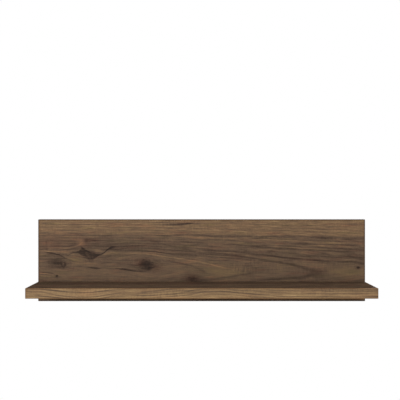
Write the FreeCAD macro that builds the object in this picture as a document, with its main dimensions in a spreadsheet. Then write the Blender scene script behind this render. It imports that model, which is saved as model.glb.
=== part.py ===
"""Wall shelf: a melamine-faced back panel with one shelf board butted against its front face, hung on two
keyhole plates that are let into the back.

The origin lies on the wall plane, midway between the two wall screws that carry the shelf. X runs along the
shelf, +Y points into the wall, and Z points up. Lengths are in millimetres.
"""

import FreeCAD, Part
import math
import os
import re

import Sketcher

# Driving sizes, in millimetres, and two counts

SIZES = {
    # the two boards
    "shelf_length": 600.0,  # over the edge bands, the same for both boards
    "panel_height": 150.0,
    "shelf_depth": 150.0,  # from the panel's face to the front of the shelf
    "board_thickness": 18.0,
    "panel_lip": 18.0,  # what shows of the panel below the shelf board
    # edge bands
    "band_thickness": 2.0,
    "band_radius": 1.0,
    # screws that pull the shelf board against the panel
    "end_reach": 50.0,  # from the shelf's end to the outer screws
    "screw_length": 50.0,
    "screw_shank_length": 12.0,
    "screw_thread": 7.0,  # outer diameter, of the plain shank too
    "screw_core": 4.6,
    "screw_head": 10.0,
    "screw_rim": 0.8,
    "screw_cone": 2.0,
    "screw_pitch": 3.0,
    "screw_ridge_root": 1.8,
    "screw_ridge_crest": 0.4,
    "screw_tip": 6.0,
    "screw_point": 1.2,  # bevel at the very end
    "screw_inset": 0.3,  # the head lies this far below the panel's back
    "screw_clearance": 0.1,  # around the shank in the panel
    "pilot_spare": 2.0,
    "hex_width": 4.0,
    "hex_depth": 3.4,
    # dowels half-way between the screws
    "dowel_diameter": 8.0,
    "dowel_length": 30.0,
    "dowel_in_panel": 11.0,
    "dowel_spare": 1.0,
    "dowel_chamfer": 1.2,
    "flute_width": 0.7,
    "flute_depth": 0.35,
    "flute_count": 16,
    # keyhole plates in the back
    "hang_drop": 35.0,  # from the panel's top down to the wall screws
    "hang_reach": 92.0,  # from the shelf's ends to the wall screws
    "hanger_inset": 0.1,  # the plate lies this far below the panel's back
    "plate_width": 22.0,
    "plate_thickness": 1.6,
    "plate_bevel": 0.3,
    "plate_screw_reach": 13.0,  # from each end of the keyhole's travel to the plate's screw
    "plate_screw_margin": 6.5,
    "keyhole_slot": 5.5,
    "keyhole_entry": 11.0,
    "keyhole_travel": 12.0,
    "recess_clearance": 0.2,
    "cavity_margin": 1.0,  # the head cavity is wider than the keyhole's entry
    "cavity_depth": 9.0,
    # screws that hold the keyhole plates
    "fixing_length": 12.0,
    "fixing_thread": 3.5,
    "fixing_core": 2.3,
    "fixing_head": 7.0,
    "fixing_rim": 0.15,
    "fixing_cone": 1.75,
    "fixing_shank_length": 3.2,
    "fixing_pitch": 1.6,
    "fixing_ridge_root": 1.0,
    "fixing_ridge_crest": 0.2,
    "fixing_tip": 3.2,
    "cross_span": 4.2,
    "cross_width": 1.0,
    "cross_depth": 1.5,
    # how far each cut runs past the material
    "overrun": 1.0,
}

X_AXIS = FreeCAD.Vector(1, 0, 0)
Y_AXIS = FreeCAD.Vector(0, 1, 0)
Z_AXIS = FreeCAD.Vector(0, 0, 1)
SAME = 1e-6  # two numbers closer than this are taken as equal

# Places and lengths that follow from the sizes

PANEL_BOTTOM = "(hang_drop - panel_height)"
BOARD_MIDDLE = "(panel_lip + board_thickness / 2)"  # above the panel's bottom
BOARD_AXIS = f"({PANEL_BOTTOM} + {BOARD_MIDDLE})"
CORE_LENGTH = "(shelf_length - 2 * band_thickness)"
CORE_DEPTH = "(shelf_depth - band_thickness)"
SIDE_BAND_LENGTH = "(panel_height - 2 * band_thickness)"
SEAT_HEIGHT = "(panel_height - hang_drop)"  # of the wall screws, above the panel's bottom
RECESS_DEPTH = "(plate_thickness + hanger_inset)"
PLATE_TOP = "(plate_screw_reach + plate_screw_margin - plate_width / 2)"
PLATE_FOOT = "(-keyhole_travel - plate_screw_reach - plate_screw_margin + plate_width / 2)"
CAVITY_RADIUS = "(keyhole_entry / 2 + cavity_margin)"
OUTER_SCREW = "(shelf_length / 2 - end_reach)"
HANGER = "(shelf_length / 2 - hang_reach)"
SCREW_PLACES = {"left": f"(-{OUTER_SCREW})", "centre": "0", "right": OUTER_SCREW}
DOWEL_PLACES = {"left": f"(-{OUTER_SCREW} / 2)", "right": f"({OUTER_SCREW} / 2)"}
HANGER_PLACES = {"left": f"(-{HANGER})", "right": HANGER}
FIXING_HEIGHTS = {"upper": "plate_screw_reach", "lower": "(-keyhole_travel - plate_screw_reach)"}

doc = FreeCAD.newDocument("wall_shelf")
sheet = doc.addObject("Spreadsheet::Sheet", "Sizes")
for row, (alias, size) in enumerate(SIZES.items(), start=1):
    sheet.set(f"A{row}", alias)
    sheet.set(f"B{row}", str(size))
    sheet.setAlias(f"B{row}", alias)
doc.recompute()

sub_parts = []


def full(expression):
    """The expression with every size's name pointing at its cell."""
    return re.sub(r"[a-z][a-z_]+", lambda word: "Sizes." + word.group(), expression)


def number(expression):
    """What the expression comes to now, as a plain number."""
    return float(sheet.evalExpression(full(expression)))


def sub_part(label, x="0", y="0", z="0", rotation=FreeCAD.Rotation()):
    """A new body whose own origin is placed in the shelf's frame."""
    body = doc.addObject("PartDesign::Body", label)
    body.Label = label
    body.Placement = FreeCAD.Placement(FreeCAD.Vector(), rotation)
    for axis, place in zip("xyz", (x, y, z)):
        body.setExpression(f"Placement.Base.{axis}", full(place))
    sub_parts.append(body)
    return body


def sketch_on(body, name, plane, x="0", y="0", lift="0"):
    """A sketch on one of the body's own planes, moved in that plane by x and y and off it by lift."""
    sketch = body.newObject("Sketcher::SketchObject", f"{body.Label}_{name}")
    support = next(f for f in body.Origin.OriginFeatures if f.Role == plane)
    sketch.AttachmentSupport = [(support, "")]
    sketch.MapMode = "FlatFace"
    for axis, place in zip("xyz", (x, y, lift)):
        sketch.setExpression(f"AttachmentOffset.Base.{axis}", full(place))
    return sketch


def constrain(sketch, rules):
    """Adds constraints to a sketch, each given as a constraint's arguments. One that ends in an expression is
    a dimension, and follows that expression."""
    made = []
    for rule in rules:
        known = (*rule[:-1], number(rule[-1])) if isinstance(rule[-1], str) else rule
        made.append(Sketcher.Constraint(*known))
    for index, rule in zip(sketch.addConstraint(made), rules):
        if isinstance(rule[-1], str):
            sketch.setExpression(f"Constraints[{index}]", full(rule[-1]))


def pinned(geometry, point, x, y):
    """The constraints that hold a point at x and y, measured from the sketch's origin."""
    rules = []
    for kind, axis, place in (("DistanceX", -2, x), ("DistanceY", -1, y)):
        if place == "0":
            rules.append(("PointOnObject", geometry, point, axis))
        else:
            rules.append((kind, -1, 1, geometry, point, place))
    return rules


def outline(sketch, points):
    """A closed outline of straight lines through points, which are pairs of expressions."""
    corners = [FreeCAD.Vector(number(x), number(y), 0) for x, y in points]
    first = sketch.GeometryCount
    sketch.addGeometry(
        [Part.LineSegment(a, b) for a, b in zip(corners, corners[1:] + corners[:1])], False
    )
    rules = []
    for place, (x, y) in enumerate(points):
        following = first + (place + 1) % len(points)
        rules.append(("Coincident", first + place, 2, following, 1))
        rules += pinned(first + place, 1, x, y)
    constrain(sketch, rules)


def rectangle(sketch, left, right, low, high):
    outline(sketch, [(left, low), (right, low), (right, high), (left, high)])


def ring_at(x, y, radius):
    return Part.Circle(FreeCAD.Vector(number(x), number(y), 0), Z_AXIS, number(radius))


def circle(sketch, x, y, radius):
    ring = sketch.addGeometry(ring_at(x, y, radius), False)
    constrain(sketch, pinned(ring, 3, x, y) + [("Radius", ring, radius)])


def arc(sketch, x, y, radius, start, end):
    """An arc about (x, y), turning left from one angle to the other."""
    return sketch.addGeometry(Part.ArcOfCircle(ring_at(x, y, radius), start, end), False)


def line_between(sketch, first, second):
    """A line from the end of one arc to the start of another."""
    ends = sketch.getPoint(first, 2), sketch.getPoint(second, 1)
    return sketch.addGeometry(Part.LineSegment(*ends), False)


def obround(sketch, x, low, high, radius):
    """An upright slot with round ends, whose end arcs are centred at low and high."""
    top = arc(sketch, x, high, radius, 0, math.pi)
    foot = arc(sketch, x, low, radius, math.pi, 2 * math.pi)
    left = line_between(sketch, top, foot)
    right = line_between(sketch, foot, top)
    chain = (top, left, foot, right)
    rules = [("Tangent", one, 2, other, 1) for one, other in zip(chain, chain[1:] + chain[:1])]
    rules += pinned(top, 3, x, high)
    rules += [("Vertical", left), ("DistanceY", -1, 1, foot, 3, low), ("Radius", top, radius)]
    constrain(sketch, rules)


def keyhole(sketch):
    """A round entry below, and a slot that rises from it to the seat at the sketch's origin."""
    slot_radius, entry_radius = "(keyhole_slot / 2)", "(keyhole_entry / 2)"
    half_mouth = math.asin(number("keyhole_slot / keyhole_entry"))
    mouth_left, mouth_right = math.pi / 2 + half_mouth, math.pi / 2 - half_mouth
    seat = arc(sketch, "0", "0", slot_radius, 0, math.pi)
    entry = arc(
        sketch, "0", "(-keyhole_travel)", entry_radius, mouth_left, mouth_right + 2 * math.pi
    )
    left = line_between(sketch, seat, entry)
    right = line_between(sketch, entry, seat)
    rules = pinned(seat, 3, "0", "0") + pinned(entry, 3, "0", "(-keyhole_travel)")
    rules += [("Tangent", seat, 2, left, 1), ("Tangent", right, 2, seat, 1)]
    rules += [("Coincident", left, 2, entry, 1), ("Coincident", entry, 2, right, 1)]
    rules += [("Vertical", left), ("Vertical", right)]
    rules += [("Radius", seat, slot_radius), ("Radius", entry, entry_radius)]
    constrain(sketch, rules)


def feature(body, kind, name, profile, **settings):
    """A PartDesign feature of a sketch. It stops the build if the feature adds or takes nothing away."""
    before = body.Shape.Volume if body.Tip else 0.0
    made = body.newObject(f"PartDesign::{kind}", f"{body.Label}_{name}")
    made.Profile = profile
    for key, value in settings.items():
        if isinstance(value, str) and key in ("Length", "Angle"):
            made.setExpression(key, full(value))
        else:
            setattr(made, key, value)
    doc.recompute()
    if abs(body.Shape.Volume - before) < SAME:
        raise RuntimeError(f"{made.Label} changes nothing")
    return made


def pad(body, name, profile, length):
    return feature(body, "Pad", name, profile, Length=length)


def pocket(body, name, profile, depth, along_normal=False):
    """Cuts against the sketch's normal, or along it."""
    return feature(body, "Pocket", name, profile, Length=depth, Reversed=along_normal)


def revolve(body, name, profile, kind="Revolution"):
    """Turns the profile fully round the sketch's own vertical axis."""
    return feature(body, kind, name, profile, ReferenceAxis=(profile, ["V_Axis"]), Angle=360.0)


def dress(body, kind, setting, size, chosen):
    """Rounds or bevels each edge of the body's last feature for which chosen(edge) holds."""
    base = body.Tip
    names = [f"Edge{n}" for n, edge in enumerate(base.Shape.Edges, start=1) if chosen(edge)]
    dressed = body.newObject(f"PartDesign::{kind}", f"{body.Label}_{kind.lower()}")
    dressed.Base = (base, names)
    dressed.setExpression(setting, full(size))
    doc.recompute()


# Outlines of the two kinds of screw, as pairs of radius and depth below the head


def threaded_outline(prefix, drilled=False):
    """Half the outline of a screw, or of the hole it makes for itself: head, shank, thread ridges and tip.

    Closed ring-shaped ridges stand for the helical thread."""
    head, thread, core = (f"({prefix}_{part} / 2)" for part in ("head", "thread", "core"))
    rim, cone, shank = f"{prefix}_rim", f"{prefix}_cone", f"{prefix}_shank_length"
    root, crest = f"{prefix}_ridge_root", f"{prefix}_ridge_crest"
    flank = f"({root} - {crest}) / 2"
    points = [("0", "0"), (head, "0"), (head, f"(-{rim})"), (thread, f"(-{rim} - {cone})")]
    points += [(thread, f"(-{shank})"), (core, f"(-{shank})")]
    threaded = number(f"{prefix}_length - {prefix}_tip - {shank}")
    turns = int(threaded / number(f"{prefix}_pitch"))
    for turn in range(turns):
        start = f"{shank} + {prefix}_pitch * {turn + 1} - {root}"
        points += [
            (core, f"(-({start}))"),
            (thread, f"(-({start} + {flank}))"),
            (thread, f"(-({start} + {flank} + {crest}))"),
            (core, f"(-({start} + {root}))"),
        ]
    if drilled:
        end = f"(-{prefix}_length - pilot_spare)"
        points += [(core, end), ("0", end)]
    elif prefix == "screw":
        end = "(-screw_length)"
        points += [(core, f"({end} + screw_point)"), (f"({core} - screw_point)", end), ("0", end)]
    else:
        points += [(core, f"(-{prefix}_length + {prefix}_tip)"), ("0", f"(-{prefix}_length)")]
    return points


def shank_hole_outline():
    """Half the outline of the hole that a shelf screw passes through in the panel."""
    hole = "(screw_thread / 2 + screw_clearance)"
    head = "(screw_head / 2)"
    meeting = f"screw_cone * ({head} - {hole}) / ({head} - screw_thread / 2)"
    far = "(-board_thickness - overrun)"
    return [
        ("0", "(screw_inset + overrun)"),
        (head, "(screw_inset + overrun)"),
        (head, "(-screw_rim)"),
        (hole, f"(-(screw_rim + {meeting}))"),
        (hole, far),
        ("0", far),
    ]


# The two boards


def back_panel():
    """The board that lies against the wall. Its own origin is at the middle of its back's lower edge."""
    body = sub_part("back_panel", z=PANEL_BOTTOM)
    core = sketch_on(body, "core", "XZ_Plane")
    side, top = f"({CORE_LENGTH} / 2)", "(panel_height - band_thickness)"
    rectangle(core, f"(-{side})", side, "band_thickness", top)
    pad(body, "board", core, "board_thickness")
    recess = sketch_on(body, "recess_outline", "XZ_Plane", y=SEAT_HEIGHT)
    cavity = sketch_on(body, "cavity_outline", "XZ_Plane", y=SEAT_HEIGHT)
    for place in HANGER_PLACES.values():
        obround(recess, place, PLATE_FOOT, PLATE_TOP, "(plate_width / 2 + recess_clearance)")
        obround(cavity, place, "(-keyhole_travel)", "0", CAVITY_RADIUS)
    pocket(body, "recesses", recess, RECESS_DEPTH, along_normal=True)
    pocket(body, "cavities", cavity, f"({RECESS_DEPTH} + cavity_depth)", along_normal=True)
    dowels = sketch_on(body, "dowel_outline", "XZ_Plane", y=BOARD_MIDDLE, lift="board_thickness")
    for place in DOWEL_PLACES.values():
        circle(dowels, place, "0", "(dowel_diameter / 2)")
    pocket(body, "dowel_holes", dowels, "(dowel_in_panel + dowel_spare)")
    for name, place in SCREW_PLACES.items():
        hole = sketch_on(
            body, f"{name}_screw_outline", "XY_Plane", place, "(-screw_inset)", BOARD_MIDDLE
        )
        outline(hole, shank_hole_outline())
        revolve(body, f"{name}_screw_hole", hole, "Groove")
    for side_name, place in HANGER_PLACES.items():
        for level, height in FIXING_HEIGHTS.items():
            name = f"{side_name}_{level}_fixing"
            above_bottom = f"({SEAT_HEIGHT} + {height})"
            hole = sketch_on(
                body, f"{name}_outline", "XY_Plane", place, "(-hanger_inset)", above_bottom
            )
            outline(hole, threaded_outline("fixing"))
            revolve(body, f"{name}_hole", hole, "Groove")


def shelf_board():
    """The board that carries things. Its own origin is at the middle of its back edge, half-way up."""
    body = sub_part("shelf_board", y="(-board_thickness)", z=BOARD_AXIS)
    core = sketch_on(body, "core", "XZ_Plane")
    side, half = f"({CORE_LENGTH} / 2)", "(board_thickness / 2)"
    rectangle(core, f"(-{side})", side, f"(-{half})", half)
    pad(body, "board", core, CORE_DEPTH)
    dowels = sketch_on(body, "dowel_outline", "XZ_Plane")
    for place in DOWEL_PLACES.values():
        circle(dowels, place, "0", "(dowel_diameter / 2)")
    depth = "(dowel_length - dowel_in_panel + dowel_spare)"
    pocket(body, "dowel_holes", dowels, depth, along_normal=True)
    for name, place in SCREW_PLACES.items():
        hole = sketch_on(
            body, f"{name}_screw_outline", "XY_Plane", place, "(board_thickness - screw_inset)"
        )
        outline(hole, threaded_outline("screw", drilled=True))
        revolve(body, f"{name}_screw_hole", hole, "Groove")


# Edge bands


def edge_band(label, length, run, inward, ends_show, x="0", y="0", z="0"):
    """A glued band on a board's edge. Its own origin is at the middle of its glued face, run is the direction
    of its length, and inward points into the board. Bands whose ends show are rounded there too."""
    rotation = FreeCAD.Rotation(run, inward, run.cross(inward), "XYZ")
    body = sub_part(label, x, y, z, rotation)
    strip = sketch_on(body, "outline", "XZ_Plane")
    end, side = f"({length} / 2)", "(board_thickness / 2)"
    rectangle(strip, f"(-{end})", end, f"(-{side})", side)
    pad(body, "strip", strip, "band_thickness")
    outer = -number("band_thickness")

    def rounded(edge):
        ends = [vertex.Point for vertex in edge.Vertexes]
        outside = [abs(point.y - outer) < SAME for point in ends]
        lengthwise = abs(ends[0].x - ends[1].x) > SAME
        return any(outside) if ends_show else lengthwise and all(outside)

    dress(body, "Fillet", "Radius", "band_radius", rounded)


def edge_bands():
    """Four bands round the panel and three on the shelf board, whose back edge stays bare."""
    middle = "(-board_thickness / 2)"
    half_way = f"({PANEL_BOTTOM} + panel_height / 2)"
    top = f"({PANEL_BOTTOM} + panel_height - band_thickness)"
    foot = f"({PANEL_BOTTOM} + band_thickness)"
    end = f"({CORE_LENGTH} / 2)"
    edge_band("panel_band_top", "shelf_length", X_AXIS, -Z_AXIS, True, y=middle, z=top)
    edge_band("panel_band_bottom", "shelf_length", X_AXIS, Z_AXIS, True, y=middle, z=foot)
    side = SIDE_BAND_LENGTH
    edge_band("panel_band_left", side, Z_AXIS, X_AXIS, False, f"(-{end})", middle, half_way)
    edge_band("panel_band_right", side, Z_AXIS, -X_AXIS, False, end, middle, half_way)
    front = f"(-board_thickness - {CORE_DEPTH})"
    edge_band("shelf_band_front", "shelf_length", X_AXIS, Y_AXIS, True, y=front, z=BOARD_AXIS)
    centre = f"(-board_thickness - {CORE_DEPTH} / 2)"
    edge_band("shelf_band_left", CORE_DEPTH, Y_AXIS, X_AXIS, False, f"(-{end})", centre, BOARD_AXIS)
    edge_band("shelf_band_right", CORE_DEPTH, Y_AXIS, -X_AXIS, False, end, centre, BOARD_AXIS)


# What joins the two boards


def shelf_screw(side_name, place):
    """A countersunk screw with a hexagon socket, driven from the panel's back into the shelf board's edge."""
    body = sub_part(f"shelf_screw_{side_name}", place, "(-screw_inset)", BOARD_AXIS)
    half = sketch_on(body, "outline", "XY_Plane")
    outline(half, threaded_outline("screw"))
    revolve(body, "shape", half)
    socket = sketch_on(body, "socket_outline", "XZ_Plane")
    corner = f"(hex_width / (2 * {math.cos(math.pi / 6)}))"
    across, low = "(hex_width / 2)", f"({corner} / 2)"
    outline(
        socket,
        [
            ("0", corner),
            (f"(-{across})", low),
            (f"(-{across})", f"(-{low})"),
            ("0", f"(-{corner})"),
            (across, f"(-{low})"),
            (across, low),
        ],
    )
    pocket(body, "socket", socket, "hex_depth", along_normal=True)


def dowel(side_name, place):
    """A fluted beech dowel that lines the shelf board up with the panel."""
    body = sub_part(f"dowel_{side_name}", place, "(dowel_in_panel - board_thickness)", BOARD_AXIS)
    ring = sketch_on(body, "outline", "XZ_Plane")
    circle(ring, "0", "0", "(dowel_diameter / 2)")
    pad(body, "rod", ring, "dowel_length")
    dress(body, "Chamfer", "Size", "dowel_chamfer", lambda edge: isinstance(edge.Curve, Part.Circle))
    groove = sketch_on(body, "flute_outline", "XZ_Plane")
    floor = "(dowel_diameter / 2 - flute_depth)"
    lip = "(dowel_diameter / 2 + flute_depth)"
    outline(groove, [("0", floor), ("flute_width", lip), ("(-flute_width)", lip)])
    flute = pocket(body, "flute", groove, "dowel_length", along_normal=True)
    ring_of_flutes = body.newObject("PartDesign::PolarPattern", f"{body.Label}_flutes")
    ring_of_flutes.Originals = [flute]
    axis = next(f for f in body.Origin.OriginFeatures if f.Role == "Y_Axis")
    ring_of_flutes.Axis = (axis, [""])
    ring_of_flutes.Angle = 360.0
    ring_of_flutes.setExpression("Occurrences", full("flute_count"))
    body.Tip = ring_of_flutes


# What hangs the shelf on the wall


def on_the_wall_side(edge):
    return all(abs(vertex.Point.y) < SAME for vertex in edge.Vertexes)


def keyhole_plate(side_name, place):
    """A steel plate with a keyhole. Its own origin is where the wall screw comes to rest."""
    body = sub_part(f"keyhole_plate_{side_name}", place, "(-hanger_inset)")
    flat = sketch_on(body, "outline", "XZ_Plane")
    obround(flat, "0", PLATE_FOOT, PLATE_TOP, "(plate_width / 2)")
    keyhole(flat)
    pad(body, "plate", flat, "plate_thickness")
    dress(body, "Chamfer", "Size", "plate_bevel", on_the_wall_side)
    for level, height in FIXING_HEIGHTS.items():
        hole = sketch_on(body, f"{level}_hole_outline", "XY_Plane", lift=height)
        outline(hole, threaded_outline("fixing"))
        revolve(body, f"{level}_hole", hole, "Groove")


def fixing_screw(side_name, place, level, height):
    """A small countersunk wood screw with a cross slot, which holds one end of a keyhole plate."""
    body = sub_part(f"plate_screw_{side_name}_{level}", place, "(-hanger_inset)", height)
    half = sketch_on(body, "outline", "XY_Plane")
    outline(half, threaded_outline("fixing"))
    revolve(body, "shape", half)
    arm, half_width = "(cross_span / 2)", "(cross_width / 2)"
    for direction, (across, up) in {"level": (arm, half_width), "upright": (half_width, arm)}.items():
        slot = sketch_on(body, f"{direction}_slot_outline", "XZ_Plane")
        rectangle(slot, f"(-{across})", across, f"(-{up})", up)
        pocket(body, f"{direction}_slot", slot, "cross_depth", along_normal=True)


back_panel()
shelf_board()
edge_bands()
for side_name, place in SCREW_PLACES.items():
    shelf_screw(side_name, place)
for side_name, place in DOWEL_PLACES.items():
    dowel(side_name, place)
for side_name, place in HANGER_PLACES.items():
    keyhole_plate(side_name, place)
    for level, height in FIXING_HEIGHTS.items():
        fixing_screw(side_name, place, level, height)

# Everything is checked before any file is written

doc.recompute()
for item in doc.Objects:
    if "Invalid" in item.State or "Error" in item.State:
        raise RuntimeError(f"{item.Label} could not be worked out")
for body in sub_parts:
    if body.Shape.isNull() or not body.Shape.isValid() or not body.Shape.Solids:
        raise RuntimeError(f"{body.Label} is not a sound solid")

os.makedirs("parts", exist_ok=True)
for body in sub_parts:
    body.Shape.exportStep(f"parts/{body.Label}.step")
    print(f"{body.Label}: {body.Shape.Volume:.1f} mm3, {len(body.Shape.Faces)} faces")
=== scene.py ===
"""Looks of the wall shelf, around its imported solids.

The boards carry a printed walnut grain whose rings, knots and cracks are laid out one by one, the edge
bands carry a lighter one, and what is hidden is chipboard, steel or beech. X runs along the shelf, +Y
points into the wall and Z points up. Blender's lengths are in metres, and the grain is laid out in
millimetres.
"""

import math
from dataclasses import dataclass

import bpy
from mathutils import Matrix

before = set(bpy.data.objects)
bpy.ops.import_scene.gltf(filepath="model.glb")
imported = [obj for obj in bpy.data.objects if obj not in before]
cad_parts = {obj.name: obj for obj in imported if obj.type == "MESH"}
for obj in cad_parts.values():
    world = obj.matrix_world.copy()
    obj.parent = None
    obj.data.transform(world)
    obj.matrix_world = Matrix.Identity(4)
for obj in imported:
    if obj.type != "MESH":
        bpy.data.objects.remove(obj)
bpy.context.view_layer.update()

MM = 0.001
LEFT, RIGHT, BACK = -300.0, 300.0, 0.0  # of the whole shelf, in mm
TOP, BOTTOM = 35.0, -115.0
PANEL_FACE, BOARD_FRONT = -18.0, -168.0
BOARD_TOP, BOARD_BOTTOM = -79.0, -97.0

# Camera: level and straight on, as the photograph's one vanishing point shows

PHOTO_WIDTH = 400.0  # px
FOCAL_LENGTH = 1088.1  # px
SENSOR = 36.0  # mm
EYE = (-3.0 * MM, -2015.0 * MM, 70.7 * MM)

camera = bpy.data.objects.new("camera", bpy.data.cameras.new("camera"))
bpy.context.scene.collection.objects.link(camera)
camera.location = EYE
camera.rotation_euler = (math.radians(90.0), 0.0, 0.0)
camera.data.sensor_fit = "HORIZONTAL"
camera.data.sensor_width = SENSOR
camera.data.lens = SENSOR * FOCAL_LENGTH / PHOTO_WIDTH
bpy.context.scene.camera = camera
bpy.context.scene.view_settings.view_transform = "Standard"

# Nodes


class Field:
    """A number or colour that varies over a surface. Arithmetic on it adds nodes to its material."""

    def __init__(self, tree, socket):
        self.tree = tree
        self.socket = socket

    def __add__(self, other):
        return self.tree.math("ADD", self, other)

    def __sub__(self, other):
        return self.tree.math("SUBTRACT", self, other)

    def __rsub__(self, other):
        return self.tree.math("SUBTRACT", other, self)

    def __mul__(self, other):
        return self.tree.math("MULTIPLY", self, other)

    def __truediv__(self, other):
        return self.tree.math("DIVIDE", self, other)

    def squared(self):
        return self * self

    def root(self):
        return self.tree.math("SQRT", self)


COLOUR_MIX_INPUTS = (0, 6, 7)  # sockets of a Mix node's share and its two colours
COLOUR_MIX_OUTPUT = 2


class Tree:
    """The nodes of one material, and what joins them."""

    def __init__(self, name):
        self.material = bpy.data.materials.new(name)
        self.material.use_nodes = True
        self.nodes = self.material.node_tree.nodes
        self.links = self.material.node_tree.links
        self.shader = self.nodes["Principled BSDF"]

    def node(self, kind, **settings):
        made = self.nodes.new(f"ShaderNode{kind}")
        for key, value in settings.items():
            setattr(made, key, value)
        return made

    def feed(self, socket, value):
        if isinstance(value, Field):
            self.links.new(value.socket, socket)
        else:
            socket.default_value = value

    def math(self, operation, *values):
        made = self.node("Math", operation=operation)
        for socket, value in zip(made.inputs, values):
            self.feed(socket, value)
        return Field(self, made.outputs[0])

    def greater(self, one, other):
        return self.math("MAXIMUM", one, other)

    def millimetres(self):
        """Where a point lies in the shelf's frame: three numbers, in millimetres."""
        place = self.node("TexCoord").outputs["Object"]
        parts = self.node("SeparateXYZ")
        self.links.new(place, parts.inputs[0])
        return [Field(self, output) * (1.0 / MM) for output in parts.outputs]

    def vector(self, *parts):
        made = self.node("CombineXYZ")
        for socket, value in zip(made.inputs, parts):
            self.feed(socket, value)
        return Field(self, made.outputs[0])

    def noise(self, *place, detail=2.0, roughness=0.5):
        """Soft noise about 0.5, whose blobs are about one unit of place across."""
        made = self.node("TexNoise", noise_dimensions="3D")
        self.feed(made.inputs["Vector"], self.vector(*place))
        made.inputs["Scale"].default_value = 1.0
        made.inputs["Detail"].default_value = detail
        made.inputs["Roughness"].default_value = roughness
        return Field(self, made.outputs["Fac"])

    def blobs(self, place, size, detail=2.0):
        """Soft noise about 0.5, whose blobs are about that size in mm."""
        return self.noise(*[part / size for part in place], detail=detail)

    def chance(self, value):
        """A number from 0 to 1 that is random for each whole number."""
        made = self.node("TexWhiteNoise", noise_dimensions="1D")
        self.feed(made.inputs["W"], value)
        return Field(self, made.outputs["Value"])

    def cells(self, *place):
        """For each of many cells, about one unit of place across: a random colour, and how far off its
        middle is."""
        made = self.node("TexVoronoi", voronoi_dimensions="3D", feature="F1")
        self.feed(made.inputs["Vector"], self.vector(*place))
        made.inputs["Scale"].default_value = 1.0
        return Field(self, made.outputs["Color"]), Field(self, made.outputs["Distance"])

    def rise(self, value, low, high, bottom=0.0, top=1.0):
        """Goes smoothly from bottom to top as value goes from low to high, and stays there."""
        made = self.node("MapRange", interpolation_type="SMOOTHSTEP")
        for socket, part in zip(made.inputs, (value, low, high, bottom, top)):
            self.feed(socket, part)
        return Field(self, made.outputs["Result"])

    def ramp(self, value, stops, curve="LINEAR"):
        """A colour looked up along stops, which are pairs of a position and a colour."""
        made = self.node("ValToRGB")
        made.color_ramp.interpolation = curve
        elements = made.color_ramp.elements
        while len(elements) < len(stops):
            elements.new(0.5)
        for element, (position, colour) in zip(elements, stops):
            element.position = position
            element.color = colour
        self.feed(made.inputs["Fac"], value)
        return Field(self, made.outputs["Color"])

    def parts(self, colour):
        """A colour's three numbers."""
        made = self.node("SeparateColor")
        self.feed(made.inputs["Color"], colour)
        return [Field(self, output) for output in made.outputs]

    def mix(self, share, first, second, blend="MIX"):
        """The first colour, blended with that share of the second."""
        made = self.node("Mix", data_type="RGBA", blend_type=blend, clamp_factor=True)
        for index, value in zip(COLOUR_MIX_INPUTS, (share, first, second)):
            self.feed(made.inputs[index], value)
        return Field(self, made.outputs[COLOUR_MIX_OUTPUT])

    def finish(self, colour, roughness, height=None, depth=0.0, **constants):
        """Ends the material. Height runs from 0 to 1 and stands for that share of depth, in mm."""
        self.feed(self.shader.inputs["Base Color"], colour)
        self.feed(self.shader.inputs["Roughness"], roughness)
        for name, value in constants.items():
            self.shader.inputs[name.replace("_", " ")].default_value = value
        if height is not None:
            bump = self.node("Bump")
            bump.inputs["Strength"].default_value = 1.0
            bump.inputs["Distance"].default_value = depth * MM
            self.feed(bump.inputs["Height"], height)
            self.links.new(bump.outputs["Normal"], self.shader.inputs["Normal"])
        return self.material


def srgb(red, green, blue):
    """A colour given by its three screen values from 0 to 255, as the linear numbers that nodes use."""

    def linear(value):
        share = value / 255.0
        return share / 12.92 if share <= 0.04045 else ((share + 0.055) / 1.055) ** 2.4

    return (linear(red), linear(green), linear(blue), 1.0)


# Walnut grain. Tones run from 0 to 1, and a tone times FULL_TONE is the mean screen value of its colour

FULL_TONE = 140.0
WALNUT = [
    (0.0, srgb(22, 16, 12)),
    (0.3, srgb(54, 41, 32)),
    (0.5, srgb(87, 69, 55)),
    (0.57, srgb(99, 80, 64)),
    (0.68, srgb(119, 94, 70)),
    (0.85, srgb(147, 119, 87)),
    (1.0, srgb(173, 142, 104)),
]
REDDISH = (1.22, 0.93, 0.88, 1.0)  # what a reddish place multiplies the brown by
OLIVE = (0.95, 1.03, 0.84, 1.0)
SHADED = (0.86, 0.8, 0.72, 1.0)
# painted sheen: a bluer, hazier cast that stands in for a surface's gloss
PAINTED_SHEEN = (0.99, 1.05, 1.3, 1.0)
# painted shade: the colour that a face is blended towards where another board meets it
SHADE_BLACK = (0.0, 0.0, 0.0, 1.0)
HUE_SWING = 0.3  # how far the hue's noise swings until a place is fully reddish or olive

TONE_LIFT = 0.02  # added to the tone of every face
DARK_SHADE = 0.36  # how much the tone falls in a knot or crack
PORE_SHADE = 0.07
GRAIN_DEPTH = 0.04  # mm from the grain's highest places to its deepest
CRACK_CORE = 0.3  # share of a crack's half width that is fully dark

REACH = 200.0  # mm across the grain, or of radius, that a ramp's whole range stands for
RING = 4.45  # mm from one growth ring to the next
LATE_START, LATE_PEAK = 0.3, 0.88  # shares of a ring where its late wood begins and is darkest
RING_LENGTH, RING_HEIGHT = 400.0, 9.0  # mm along the grain and of radius over which their spacing changes
BEND = 60.0  # mm within which level rings turn into tongues
BELOW = 1.25  # how much closer rings lie below their axis than above it
STRAIGHT = 20.0  # mm to either side of the axis where fibres stay nearly level

RING_LEAST, RING_SPREAD = 0.3, 0.8  # strength of the faintest ring, and how much stronger others may be
RING_SEED = 3.1  # sets the noise of their spacing apart from the layers below

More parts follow.
